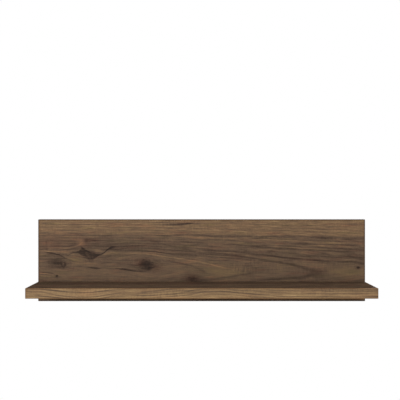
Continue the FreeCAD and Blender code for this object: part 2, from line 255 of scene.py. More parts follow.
KNOT_REACH = (2.4, 2.2)  # how far along and across a knot pushes rings aside, in its own half axes
KNOT_EDGE = (0.3, 1.3)  # how far out its core begins to fade and ends, in the same
KNOT_RAGGED = 1.2  # how ragged its edge is, in the same
KNOT_MOTTLED = 1.6  # how uneven its darkness is
KNOT_RINGS = 9.0  # how close its own rings lie
KNOT_RING_MEAN, KNOT_RING_SWING = 0.88, 0.16  # mean share of darkness in them, and how far it swings
KNOT_CORE, KNOT_ROUND = 0.85, 0.3  # shares of darkness in its core and round it

# Pairs of a value at which something begins to show and one at which it shows in full

RING_SHOWN = (-0.2, 0.1)  # noise
TONGUE_SHOWN = (0.1, 0.6)  # how far a place is from the axis, as a share of its ring's radius
THREAD_SHOWN = (0.1, 0.3)  # noise, and the same below 0 for light threads
CURL_SHOWN = (-0.05, 0.2)  # noise
CRACK_SHOWN = (-0.2, 0.15)  # noise
PORE_SHOWN = (0.16, 0.28)  # noise
CURL_LEAST, CRACK_LEAST = 0.3, 0.5  # what stays of curls and cracks where they aren't shown


@dataclass
class Waves:
    """A layer of noise in the grain."""

    layer: int  # sets it apart from the others
    length: float  # of its waves along the grain, in mm
    height: float  # of its waves across the grain, in mm
    detail: float = 2.0


LAYER_GAP = 10.0  # how far apart two layers lie in the noise
WAVE_ROUGHNESS = 0.65
RAGGED = Waves(0, 5.0, 3.5, detail=4.0)  # makes knots and drawn lines uneven
RIPPLE = Waves(1, 28.0, 9.0)
RIPPLE_ALONG, RIPPLE_ACROSS = 4.0, 0.9  # mm by which it moves the rings
WANDER = Waves(2, 110.0, 34.0)
SHOWN = Waves(3, 240.0, 5.0)  # where a ring's late wood shows
FIBRE = Waves(4, 1.0, 2.1, detail=3.0)  # its length is a share of the grain's run
HAIR = Waves(5, 9.0, 0.45, detail=3.0)
CURLY = Waves(6, 90.0, 40.0)  # where the grain curls
CLOUD = Waves(7, 46.0, 11.0)  # broad changes of tone that follow the rings
VEIN = Waves(8, 55.0, 3.3)
SWELL = Waves(9, 90.0, 28.0)  # broad changes of tone that don't
CURL = Waves(10, 3.2, 16.0)
BROKEN = Waves(11, 6.0, 1.6)  # where cracks are faint
PORE = Waves(12, 5.5, 0.32, detail=1.0)
HUE = Waves(13, 60.0, 8.0, detail=4.0)
THREAD = Waves(14, 2.6, 1.9, detail=1.0)  # its length is a share of the grain's run too
FLECK = Waves(15, 3.0, 2.0)
MOTTLE = Waves(16, 5.0, 4.0)  # makes a knot's darkness uneven


@dataclass
class Grain:
    """What the walnut figure of one face looks like. Places are in mm along and across the grain, and
    changes are in tone."""

    seed: float
    levels: tuple  # pairs of a ring's radius and its screen value
    axis: float  # how high the rings' common axis lies
    slope: float  # how fast the rings' tongues narrow along the grain
    start: float  # what is added to every ring's squared radius
    bend: float = 230.0  # the rings lie level up to here
    run: float = 20.0  # mm that a fibre runs along the grain
    dips: tuple = ()  # where all lines dip: place, half length and depth
    wander: float = 7.0  # how far the rings wander across the grain
    jitter: float = 6.0  # how unevenly the rings are spaced
    lines: float = 0.36  # how dark each ring's late wood is, as a share like the next six
    vein: float = 0.42
    fibre: float = 0.76
    hair: float = 0.36
    fleck: float = 0.2
    threads: float = 0.16
    curl: float = 0.3
    broad: float = 0.09  # how much the tone changes over broad places
    stray: float = 2.5  # mm by which drawn lines stray
    warmth: float = 0.9  # how reddish and olive places get
    gloss: float = 0.06
    painted_corner_shade: tuple = (0.0, 1.0, 0.0)  # painted shade where the other board meets it: place, reach and share of darkening
    knots: tuple = ()  # place, half length, half height, how far they push rings aside, and darkness
    cracks: tuple = ()  # points of a line: place, half width and darkness, which is 0 at both ends
    strokes: tuple = ()  # a soft line's change, after its points: place, half width and share of change
    patches: tuple = ()  # place, half length, half height and change
    curled: tuple = ()  # where the grain curls: the same
    tints: tuple = ()  # place, half length, half height, share and what the colour is multiplied by


STRAY_ACROSS = 0.7  # share of a drawn line's stray that goes across the grain


class Walnut(Tree):
    """A printed walnut grain on one face. axes turns a place into how far it lies along and across the
    grain."""

    def __init__(self, name, axes, grain):
        super().__init__(name)
        self.along, self.across = axes(*self.millimetres())
        self.grain = grain
        self.ragged = self.waves(RAGGED)
        self.strayed_along = self.along + self.ragged * grain.stray
        self.strayed_across = (self.across + self.ragged * grain.stray * STRAY_ACROSS) / REACH

    def waves(self, kind, across=None, run=1.0):
        """One layer's noise, about 0. run is what its length is a share of, in mm."""
        across = self.across if across is None else across
        place = (self.along / (kind.length * run), across / kind.height)
        seed = self.grain.seed + LAYER_GAP * kind.layer
        return self.noise(*place, seed, detail=kind.detail, roughness=WAVE_ROUGHNESS) - 0.5

    def away(self, u, v, length, height, along=None, across=None):
        """How far a place lies from (u, v), as a share of an ellipse's own half axes, and squared."""
        along = self.along if along is None else along
        across = self.across if across is None else across
        return ((along - u) / length).squared() + ((across - v) / height).squared()

    def bell(self, distance):
        """1 where a squared distance is 0, and less and less away from there."""
        return self.math("EXPONENT", distance * -1.0)

    def glow(self, *ellipse):
        """1 at an ellipse's middle, and less and less away from it."""
        return self.bell(self.away(*ellipse))

    def changed(self, value, places):
        """A value with a soft change round each of some places."""
        for *ellipse, change in places:
            value = value + self.glow(*ellipse) * change
        return value

    def stroke(self, points, core=0.0):
        """How strongly a line through points is drawn. Each is a place, a half width and a strength. core
        is the share of the width that is full."""
        first, last = points[0][0], points[-1][0]
        stops = []
        for u, v, width, strength in points:
            stops.append(((u - first) / (last - first), (v / REACH, width / REACH, strength, 1.0)))
        drawn = self.ramp((self.strayed_along - first) / (last - first), stops, "CARDINAL")
        middle, width, strength = self.parts(drawn)
        off = self.math("ABSOLUTE", self.strayed_across - middle)
        return self.rise(off / width, core, 1.0, 1.0, 0.0) * strength

    def knots(self):
        """Pushes the rings aside round each knot. Gives the rings' own place and how much knot there is."""
        ripple = self.waves(RIPPLE)
        mottle = self.waves(MOTTLE) * KNOT_MOTTLED + 1.0
        u = self.along + ripple * RIPPLE_ALONG
        v = self.across + self.waves(WANDER) * self.grain.wander + ripple * RIPPLE_ACROSS
        for place, length, depth in self.grain.dips:
            v = v + self.bell(((u - place) / length).squared()) * depth
        dark = 0.0
        for ku, kv, length, height, push, darkness in self.grain.knots:
            near = self.glow(ku, kv, KNOT_REACH[0] * length, KNOT_REACH[1] * height, u, v)
            v = v - (v - kv) * near * push
            spot = self.away(ku, kv, length, height).root() + self.ragged * KNOT_RAGGED
            ringed = self.math("SINE", spot * KNOT_RINGS) * KNOT_RING_SWING + KNOT_RING_MEAN
            core = self.rise(spot, *KNOT_EDGE, 1.0, 0.0) * ringed * mottle
            dark = self.greater(dark, (core * KNOT_CORE + near * near * KNOT_ROUND) * darkness)
        return u, v, dark

    def rings(self, u, v):
        """How far out a place's ring lies, how far across the grain its fibre does, and how far it is from
        the axis. Rings are nested tongues about the axis, closed towards the right and level on the left.
        Fibres run beside them, but don't turn round their ends."""
        grain = self.grain
        tongue = (u + grain.bend + ((u - grain.bend).squared() + BEND * BEND).root()) * 0.5
        widening = tongue * grain.slope + grain.start
        off = v - grain.axis
        aside = self.greater(off, off * -BELOW)
        ring = (aside.squared() + widening).root()
        flow = off * (widening * 0.5 / (off.squared() + STRAIGHT * STRAIGHT) + 1.0)
        return ring, flow, aside

    def late_wood(self, ring, aside):
        """The dark side of each ring. Some rings are stronger than others, and each comes and goes and
        fades towards its tongue's end."""
        seed = self.grain.seed
        place = (ring / RING_HEIGHT, self.along / RING_LENGTH, seed + RING_SEED)
        uneven = self.noise(*place, detail=1.0) - 0.5
        turn = (ring + uneven * self.grain.jitter) / RING
        whole = self.math("FLOOR", turn)
        part = turn - whole
        dark = self.rise(part, LATE_START, LATE_PEAK) * self.rise(part, LATE_PEAK, 1.0, 1.0, 0.0)
        strength = self.chance(whole + seed) * RING_SPREAD + RING_LEAST
        shown = self.rise(self.waves(SHOWN, ring), *RING_SHOWN) * self.rise(aside / ring, *TONGUE_SHOWN)
        return dark * strength * shown

    def fine(self, ring, flow, aside, fibre, hair):
        """The fine figure, which the tone is multiplied by."""
        grain = self.grain
        thread = self.waves(THREAD, flow, grain.run)
        start, full = THREAD_SHOWN
        threads = self.rise(thread, -start, -full) - self.rise(thread, start, full)
        curly = self.rise(self.waves(CURLY), *CURL_SHOWN) + CURL_LEAST
        curly = self.changed(curly, grain.curled)
        figure = self.waves(VEIN, flow) * grain.vein + fibre * grain.fibre + hair * grain.hair
        figure = figure + threads * grain.threads + self.waves(FLECK, flow) * grain.fleck
        figure = figure + self.waves(CURL) * curly * grain.curl
        return figure - self.late_wood(ring, aside) * grain.lines + 1.0

    def toned(self, ring, fine):
        """The tone, without knots, cracks and pores."""
        grain = self.grain
        greys = [(radius / REACH, (value / FULL_TONE,) * 3 + (1.0,)) for radius, value in grain.levels]
        tone = self.ramp(ring / REACH, greys) + TONE_LIFT
        tone = tone + self.waves(CLOUD, ring) * grain.broad + self.waves(SWELL) * grain.broad
        tone = self.changed(tone * fine, grain.patches)
        for points, change in grain.strokes:
            tone = tone + self.stroke(points) * change
        return tone

    def coloured(self, tone):
        """The colour for a tone, with its change of hue and the painted shade where another board meets it.
        """
        grain = self.grain
        colour = self.ramp(tone, WALNUT)
        hue = self.waves(HUE)
        for swing, tint in ((HUE_SWING, REDDISH), (-HUE_SWING, OLIVE)):
            colour = self.mix(self.rise(hue, 0.0, swing) * grain.warmth, colour, tint, "MULTIPLY")
        for *ellipse, share, tint in grain.tints:
            colour = self.mix(self.glow(*ellipse) * share, colour, tint, "MULTIPLY")
        # painted shade: the colour darkens towards black within reach of where another board meets this
        # face
        place, reach, share = grain.painted_corner_shade
        off = self.math("ABSOLUTE", self.across - place)
        return self.mix(self.rise(off, 0.0, reach, 1.0, 0.0) * share, colour, SHADE_BLACK)

    def made(self):
        """The finished material."""
        grain = self.grain
        u, v, dark = self.knots()
        ring, flow, aside = self.rings(u, v)
        fibre = self.waves(FIBRE, flow, grain.run)
        hair = self.waves(HAIR, flow)
        tone = self.toned(ring, self.fine(ring, flow, aside, fibre, hair))
        broken = self.rise(self.waves(BROKEN), *CRACK_SHOWN, CRACK_LEAST, 1.0)
        for points in grain.cracks:
            dark = self.greater(dark, self.stroke(points, CRACK_CORE) * broken)
        pores = self.rise(self.waves(PORE, flow), *PORE_SHOWN)
        colour = self.coloured(tone - dark * DARK_SHADE - pores * PORE_SHADE)

        relief = fibre * 0.5 + hair * 0.3 + 0.4 - pores * 0.5 - dark * 0.2
        roughness = pores * 0.12 - fibre * 0.12 + 0.5
        return self.finish(colour, roughness, relief, GRAIN_DEPTH, Specular_IOR_Level=grain.gloss)


def even(value):
    """Levels that are the same for all rings."""
    return ((0.0, value), (100.0, value))


# The panel's front, which the photograph shows best. Places are in mm from its lower left corner

PANEL_FRONT = Grain(
    seed=3.0,
    levels=(
        (0.0, 81.0),
        (44.0, 81.0),
        (52.0, 79.0),
        (70.0, 80.0),
        (76.0, 84.0),
        (82.0, 95.0),
        (100.0, 96.0),
    ),
    axis=54.0,
    slope=4.5,
    start=60.0,
    run=28.0,
    wander=4.0,
    jitter=1.5,
    lines=0.24,
    vein=0.36,
    fibre=0.84,
    hair=0.4,
    stray=1.2,
    # painted shade: the panel darkens over the last 12 mm above the shelf board's top
    painted_corner_shade=(36.0, 12.0, 0.24),
    knots=(
        (93.0, 86.0, 9.0, 5.0, 0.75, 0.3),
        (46.0, 67.0, 5.2, 5.2, 0.5, 0.95),
        (34.0, 69.5, 17.0, 9.0, 0.3, 0.36),
        (34.0, 46.5, 2.2, 2.2, 0.6, 1.1),
        (198.5, 66.8, 13.5, 10.8, 0.7, 0.78),
        (282.5, 40.0, 10.0, 6.0, 0.6, 0.5),
        (587.3, 61.5, 3.4, 2.2, 0.6, 1.1),
    ),
    cracks=(
        # the big knot, with an arm to either side
        ((52.0, 83.0, 0.8, 0.0), (57.0, 85.5, 1.3, 0.6), (63.0, 88.3, 1.4, 0.4), (70.0, 89.3, 2.2, 0.5),
         (75.8, 90.1, 5.0, 0.9), (82.5, 89.3, 11.0, 1.0), (89.2, 85.1, 10.5, 0.9),
         (95.8, 82.6, 10.5, 0.9), (102.5, 82.1, 7.0, 0.95), (109.2, 84.3, 3.4, 1.0),
         (119.2, 87.6, 1.8, 1.0), (124.2, 91.8, 1.9, 1.0), (129.2, 96.0, 2.2, 1.0),
         (134.3, 98.4, 3.0, 0.8), (143.0, 100.0, 3.0, 0.0)),
        ((76.5, 100.0, 2.0, 0.0), (81.0, 97.0, 3.2, 0.9), (86.0, 93.5, 3.2, 1.2),
         (94.0, 89.5, 2.6, 1.2), (103.0, 87.0, 2.0, 1.1), (112.0, 86.0, 2.0, 0.6),
         (118.0, 87.0, 2.0, 0.0)),
        ((8.0, 90.5, 0.8, 0.0), (16.0, 89.4, 1.4, 0.7), (24.0, 88.2, 1.7, 1.0), (33.0, 86.2, 1.8, 0.9),
         (41.0, 83.8, 1.8, 0.8), (48.0, 80.0, 2.2, 0.4), (52.0, 74.0, 3.0, 0.0)),
        ((0.0, 54.2, 1.2, 0.0), (8.0, 53.4, 1.4, 0.5), (18.0, 52.4, 1.4, 0.55), (28.0, 50.6, 1.4, 0.5),
         (34.0, 47.4, 1.2, 0.0)),
        ((88.0, 62.0, 1.2, 0.0), (97.0, 61.4, 2.0, 0.7), (106.0, 60.6, 2.2, 0.9),
         (118.0, 60.0, 1.2, 0.0)),
        ((136.0, 61.0, 1.2, 0.0), (150.0, 59.6, 1.8, 0.8), (162.0, 58.0, 2.2, 1.0),
         (180.0, 55.0, 1.9, 0.8), (197.0, 54.2, 1.8, 0.6), (204.0, 55.0, 1.2, 0.0)),
        ((158.0, 68.5, 1.2, 0.0), (170.0, 67.2, 1.6, 0.4), (184.0, 66.0, 2.0, 0.5),
         (192.0, 66.0, 2.0, 0.0)),
        ((208.0, 140.5, 1.0, 0.0), (228.0, 140.7, 1.4, 0.3), (248.0, 140.8, 2.0, 0.8),
         (270.0, 141.5, 2.6, 1.1), (281.0, 142.8, 2.0, 0.9), (291.0, 143.8, 1.2, 0.0)),
    ),
    strokes=(
        # the light lines that trail from the knots
        (((112.0, 85.0, 3.0, 0.0), (130.0, 88.2, 2.2, 0.8), (150.0, 88.8, 2.2, 0.9),
          (175.0, 88.6, 2.2, 0.9), (200.0, 86.8, 2.0, 1.0), (222.0, 83.2, 2.0, 1.0),
          (250.0, 79.6, 1.8, 1.0), (275.0, 75.5, 1.8, 0.9), (300.0, 71.5, 1.8, 1.0),
          (320.0, 66.5, 1.8, 1.2), (338.0, 62.2, 1.8, 1.0), (350.0, 60.0, 1.6, 0.0)), 0.14),
        (((186.0, 86.0, 1.6, 0.0), (204.0, 84.5, 1.8, 1.0), (222.0, 81.3, 1.8, 0.9),
          (240.0, 78.0, 1.6, 0.0)), 0.07),
        # dark wood behind the big knot
        (((124.0, 95.0, 4.0, 0.0), (140.0, 98.5, 5.0, 1.0), (164.0, 99.5, 5.0, 0.9),
          (196.0, 99.0, 5.0, 0.4), (240.0, 100.0, 6.0, 0.0)), -0.1),
        # the tongue round the knot at the bottom
        (((230.0, 76.5, 2.0, 0.0), (242.0, 73.4, 2.6, 0.9), (254.0, 70.9, 2.8, 1.0),
          (268.0, 68.2, 2.6, 1.0), (282.0, 64.8, 3.0, 0.7), (294.0, 59.8, 4.0, 0.6),
          (304.0, 54.8, 5.0, 0.8), (313.0, 52.0, 5.0, 0.0)), -0.1),
        (((288.0, 38.0, 5.0, 0.0), (310.0, 40.5, 4.0, 0.9), (330.0, 42.5, 3.2, 0.8),
          (350.0, 44.8, 3.0, 0.8), (368.0, 47.6, 3.0, 0.8), (384.0, 49.6, 3.0, 0.7),
          (402.0, 55.0, 3.0, 0.0)), -0.12),
        # light wood left of the big knot, and one dark line in it
        (((4.0, 90.2, 2.0, 0.0), (20.0, 91.4, 2.6, 0.7), (33.0, 91.0, 3.0, 0.9), (44.0, 90.2, 3.4, 1.0),
          (54.0, 90.2, 3.2, 1.0), (61.0, 92.0, 2.8, 0.8), (69.0, 95.0, 2.4, 0.0)), 0.12),
        (((38.0, 96.6, 1.6, 0.0), (50.0, 97.2, 1.8, 1.0), (62.0, 98.9, 2.0, 1.0),
          (70.0, 100.9, 2.2, 1.0), (77.0, 104.2, 2.4, 0.9), (83.0, 108.5, 3.0, 0.0)), 0.11),
        (((40.0, 100.8, 1.6, 0.0), (50.0, 100.8, 1.8, 1.0), (60.0, 101.6, 1.8, 0.9),
          (70.0, 104.0, 1.6, 0.0)), -0.1),
        # the fine lines at the panel's lower left
        (((0.0, 50.8, 1.2, 0.0), (6.0, 51.0, 1.4, 1.0), (16.0, 50.6, 1.4, 0.9), (24.0, 49.0, 1.2, 0.0)),
          0.15),
        (((0.0, 48.6, 1.2, 0.0), (6.0, 48.7, 1.4, 1.0), (16.0, 48.4, 1.4, 0.9), (26.0, 47.2, 1.2, 0.0)),
          -0.09),
        (((0.0, 46.4, 1.2, 0.0), (6.0, 46.5, 1.4, 1.0), (16.0, 46.3, 1.4, 0.8), (26.0, 45.4, 1.2, 0.0)),
          0.11),
        (((50.0, 82.0, 3.0, 0.0), (62.0, 79.0, 5.0, 1.0), (76.0, 76.0, 5.0, 1.0),
          (88.0, 71.5, 3.5, 0.7), (100.0, 69.5, 3.0, 0.0)), 0.06),
        (((49.0, 80.5, 1.6, 0.0), (56.0, 78.0, 2.0, 1.0), (64.0, 75.5, 2.0, 1.0),
          (74.0, 73.5, 2.0, 1.0), (84.0, 72.5, 1.6, 0.0)), 0.15),
        # painted highlight: a brighter line along the panel's upper edge
        (((-10.0, 147.8, 1.2, 1.0), (610.0, 147.8, 1.2, 1.0)), 0.13),
        # the dark rings of the long tongue, from its inside out
        (((396.0, 38.5, 2.4, 0.0), (420.0, 39.5, 2.8, 0.7), (446.0, 41.6, 3.4, 0.8),
          (468.0, 42.6, 4.2, 1.0), (482.0, 43.4, 4.6, 1.0), (494.0, 45.6, 5.0, 0.9),
          (508.0, 48.5, 5.0, 0.5), (522.0, 51.0, 4.0, 0.0)), -0.15),
        (((126.0, 93.0, 2.0, 0.0), (150.0, 93.2, 2.2, 0.8), (178.0, 93.0, 2.2, 0.8),
          (206.0, 91.2, 2.2, 0.8), (236.0, 88.0, 2.0, 0.7), (264.0, 86.8, 2.2, 0.7),
          (300.0, 86.6, 2.2, 0.7), (330.0, 85.2, 2.4, 0.8), (352.0, 83.4, 3.6, 1.2),
          (366.0, 82.6, 4.6, 1.7), (382.0, 80.4, 3.2, 1.2), (400.0, 78.0, 2.6, 0.9),
          (420.0, 75.2, 3.0, 0.9), (445.0, 71.6, 3.8, 0.9), (468.0, 66.8, 5.0, 0.9),
          (484.0, 62.4, 5.6, 0.8), (498.0, 58.6, 5.6, 0.6), (512.0, 56.4, 5.0, 0.4),
          (528.0, 54.5, 3.5, 0.0)), -0.15),
        (((236.0, 94.4, 2.0, 0.0), (270.0, 93.6, 2.2, 0.8), (305.0, 93.4, 2.2, 0.6),
          (335.0, 92.0, 2.4, 0.8), (365.0, 90.0, 2.6, 0.9), (392.0, 86.8, 3.0, 1.0),
          (420.0, 84.3, 2.8, 1.0), (445.0, 81.2, 2.8, 0.9), (470.0, 78.8, 3.0, 0.9),
          (500.0, 76.4, 2.8, 1.0), (530.0, 73.6, 2.6, 0.9), (556.0, 71.8, 2.8, 0.9),
          (574.0, 72.6, 3.8, 1.0), (590.0, 69.8, 5.0, 1.0), (600.0, 68.0, 5.0, 0.9)), -0.17),
        (((480.0, 86.5, 1.8, 0.0), (500.0, 84.8, 2.4, 0.5), (520.0, 83.8, 3.0, 0.6),
          (545.0, 82.0, 3.8, 0.85), (565.0, 81.2, 4.0, 0.9), (586.0, 80.0, 4.2, 0.95),
          (600.0, 79.0, 4.2, 0.9)), -0.14),
        (((330.0, 104.7, 1.6, 0.0), (352.0, 103.4, 1.8, 0.4), (380.0, 101.6, 1.8, 0.6),
          (404.0, 99.8, 1.8, 0.9), (430.0, 98.2, 1.8, 1.0), (456.0, 97.0, 1.8, 0.9),
          (484.0, 95.0, 1.8, 0.9), (514.0, 93.4, 1.8, 1.0), (544.0, 92.0, 1.8, 0.9),
          (566.0, 90.8, 2.0, 1.0), (586.0, 90.0, 1.6, 0.0)), -0.19),
        (((440.0, 106.0, 1.6, 0.0), (470.0, 105.2, 1.8, 0.8), (500.0, 104.6, 1.8, 0.8),
          (540.0, 103.4, 1.8, 0.7), (575.0, 102.8, 1.8, 0.8), (600.0, 102.4, 1.6, 0.0)), -0.17),
        (((236.0, 121.6, 1.8, 0.0), (262.0, 121.6, 2.0, 0.9), (300.0, 121.2, 2.2, 1.0),
          (326.0, 120.0, 2.6, 0.9), (360.0, 119.4, 3.0, 0.7), (400.0, 118.8, 3.0, 0.7),
          (440.0, 118.6, 3.8, 0.9), (480.0, 117.2, 5.0, 0.9), (520.0, 116.6, 5.6, 1.0),
          (560.0, 116.6, 6.4, 1.1), (586.0, 115.8, 7.0, 1.1), (600.0, 115.2, 7.0, 1.1)), -0.15),
        (((284.0, 79.5, 2.0, 0.0), (311.0, 76.0, 2.2, 1.0), (332.0, 74.6, 2.4, 1.0),
          (351.0, 73.8, 2.6, 1.0), (372.0, 72.5, 2.4, 0.6), (392.0, 71.0, 2.4, 0.0)), -0.08),
        (((400.0, 93.0, 1.6, 0.0), (431.0, 91.4, 2.4, 1.0), (452.0, 90.0, 1.6, 0.0)), -0.09),
        (((490.0, 100.6, 1.4, 0.0), (511.0, 99.7, 1.6, 0.6), (551.0, 97.4, 1.8, 1.0),
          (586.0, 95.8, 2.0, 0.7), (600.0, 95.2, 1.8, 0.6)), -0.12),
        (((520.0, 111.5, 1.6, 0.0), (551.0, 110.6, 2.2, 1.0), (586.0, 109.6, 2.2, 1.0),
          (600.0, 109.2, 2.2, 1.0)), -0.09),
        # light rings between them
        (((290.0, 108.6, 1.6, 0.0), (311.0, 107.4, 2.0, 1.0), (330.0, 106.6, 2.0, 0.9),
          (351.0, 105.8, 2.0, 1.0), (376.0, 104.6, 2.0, 0.9), (398.0, 103.2, 1.6, 0.0)), 0.11),
        (((448.0, 94.2, 1.4, 0.0), (471.0, 92.3, 1.8, 1.0), (500.0, 90.3, 1.8, 0.8),
          (520.0, 89.0, 1.4, 0.0)), 0.08),
        (((366.0, 84.6, 1.4, 0.0), (390.0, 83.2, 1.6, 0.8), (412.0, 81.4, 1.6, 0.9),
          (432.0, 79.0, 1.4, 0.0)), 0.1),
        (((290.0, 83.0, 1.6, 0.0), (311.0, 81.5, 1.6, 1.0), (330.0, 79.6, 1.6, 1.0),
          (351.0, 78.2, 1.6, 0.7), (370.0, 77.0, 1.4, 0.0)), 0.08),
        (((418.0, 101.0, 1.4, 0.0), (432.0, 100.0, 1.6, 0.8), (471.0, 98.5, 1.6, 1.0),
          (511.0, 96.6, 1.6, 1.0), (534.0, 95.4, 1.4, 0.0)), 0.09),
        (((490.0, 102.6, 1.4, 0.0), (511.0, 101.9, 1.6, 0.4), (551.0, 101.4, 1.6, 0.9),
          (575.0, 100.2, 1.6, 0.9), (600.0, 99.6, 1.6, 0.9)), 0.09),
        (((236.0, 119.2, 1.4, 0.0), (264.0, 118.4, 1.6, 0.9), (296.0, 117.4, 1.6, 0.9),
          (322.0, 116.2, 1.6, 0.7), (350.0, 115.2, 1.6, 0.8), (384.0, 114.7, 1.6, 0.7),
          (420.0, 112.9, 1.6, 0.9), (448.0, 111.8, 1.8, 0.9), (480.0, 110.2, 1.8, 0.8),
          (520.0, 108.6, 1.8, 0.6), (560.0, 107.6, 2.0, 0.5), (586.0, 107.0, 2.0, 0.8),
          (600.0, 106.8, 2.0, 0.8)), 0.17),
    ),
    patches=(
        (90.0, 85.0, 4.0, 2.0, 0.03),
        (79.0, 106.5, 7.0, 6.5, 0.12),
        (88.0, 111.0, 4.0, 3.4, -0.16),
        (100.0, 113.0, 12.0, 2.4, -0.1),
        (110.0, 93.0, 8.0, 3.5, 0.08),
        (188.0, 72.0, 10.0, 6.0, -0.07),
        (511.0, 52.5, 20.0, 6.5, -0.12),
        (522.0, 40.0, 22.0, 4.0, 0.06),
        (512.0, 65.0, 16.0, 3.0, 0.04),
        (338.0, 53.0, 24.0, 7.0, 0.04),
        (46.0, 67.8, 2.1, 3.2, 0.38),
        (15.5, 95.5, 2.0, 2.5, -0.12),
        (15.0, 107.0, 2.0, 6.0, -0.07),
        (210.0, 106.0, 70.0, 10.0, -0.03),
        (110.0, 104.0, 40.0, 10.0, -0.06),
        (190.0, 66.0, 40.0, 13.0, -0.05),
        (120.0, 77.0, 40.0, 6.0, -0.04),
        (40.0, 119.0, 50.0, 5.0, 0.04),
        (36.0, 71.0, 22.0, 11.0, -0.08),
        (204.0, 60.0, 4.0, 4.5, -0.16),
        (216.0, 61.0, 10.0, 7.0, -0.07),
        (282.0, 41.0, 20.0, 9.0, -0.14),
        (405.0, 58.0, 30.0, 9.0, -0.07),
        (391.0, 66.0, 12.0, 5.0, -0.04),
        (391.0, 49.0, 10.0, 4.0, -0.05),
        (480.0, 46.0, 50.0, 12.0, -0.04),
        (540.0, 84.0, 70.0, 8.0, -0.04),
        (565.0, 54.0, 30.0, 8.0, 0.05),
    ),
    curled=((372.0, 60.0, 20.0, 10.0, 2.2),),
    tints=(
        (20.0, 106.0, 24.0, 14.0, 0.3, REDDISH),
        (60.0, 112.0, 50.0, 12.0, 0.2, REDDISH),
        (82.0, 105.0, 12.0, 8.0, 0.4, REDDISH),
        (70.0, 77.0, 16.0, 8.0, 0.3, OLIVE),
        (188.0, 72.0, 10.0, 6.0, 0.5, REDDISH),
        (282.0, 41.0, 13.0, 6.0, 0.8, REDDISH),
        (216.0, 61.0, 14.0, 8.0, 0.4, REDDISH),
        (364.0, 82.5, 14.0, 4.0, 0.3, REDDISH),
        (514.0, 55.0, 20.0, 6.0, 0.2, REDDISH),
        (330.0, 52.0, 60.0, 14.0, 0.5, OLIVE),
        (565.0, 52.0, 32.0, 12.0, 0.5, OLIVE),
        (1.0, 90.0, 2.6, 150.0, 0.9, SHADED),
        (599.0, 90.0, 2.6, 150.0, 0.9, SHADED),
    ),
)

PANEL_BACK = Grain(seed=41.0, levels=even(84.0), axis=96.0, slope=5.5, start=500.0)
BOARD_UPPER = Grain(
    seed=57.0,
    levels=even(104.5),
    axis=60.0,
    slope=4.0,
    start=900.0,
    broad=0.26,
    warmth=1.5,
    gloss=0.0,
    # painted shade: the board's top darkens towards the panel over 110 mm
    painted_corner_shade=(0.0, 110.0, 0.2),
    # painted shade: a darker strip along the whole board, about 54 mm out from the panel, that shapes the
    # corner's shade
    patches=((300.0, 54.0, 2000.0, 16.0, -0.06),),
    # painted sheen: the whole top face is multiplied by a bluer, hazier tint in place of its gloss, which
    # is 0 here
    tints=((300.0, 75.0, 2000.0, 2000.0, 1.0, PAINTED_SHEEN),),
)
BOARD_UNDER = Grain(seed=73.0, levels=even(84.0), axis=90.0, slope=5.0, start=300.0)
BAND_LEVEL = 103.0

# The shelf board's front band. Places are in mm from its lower left corner

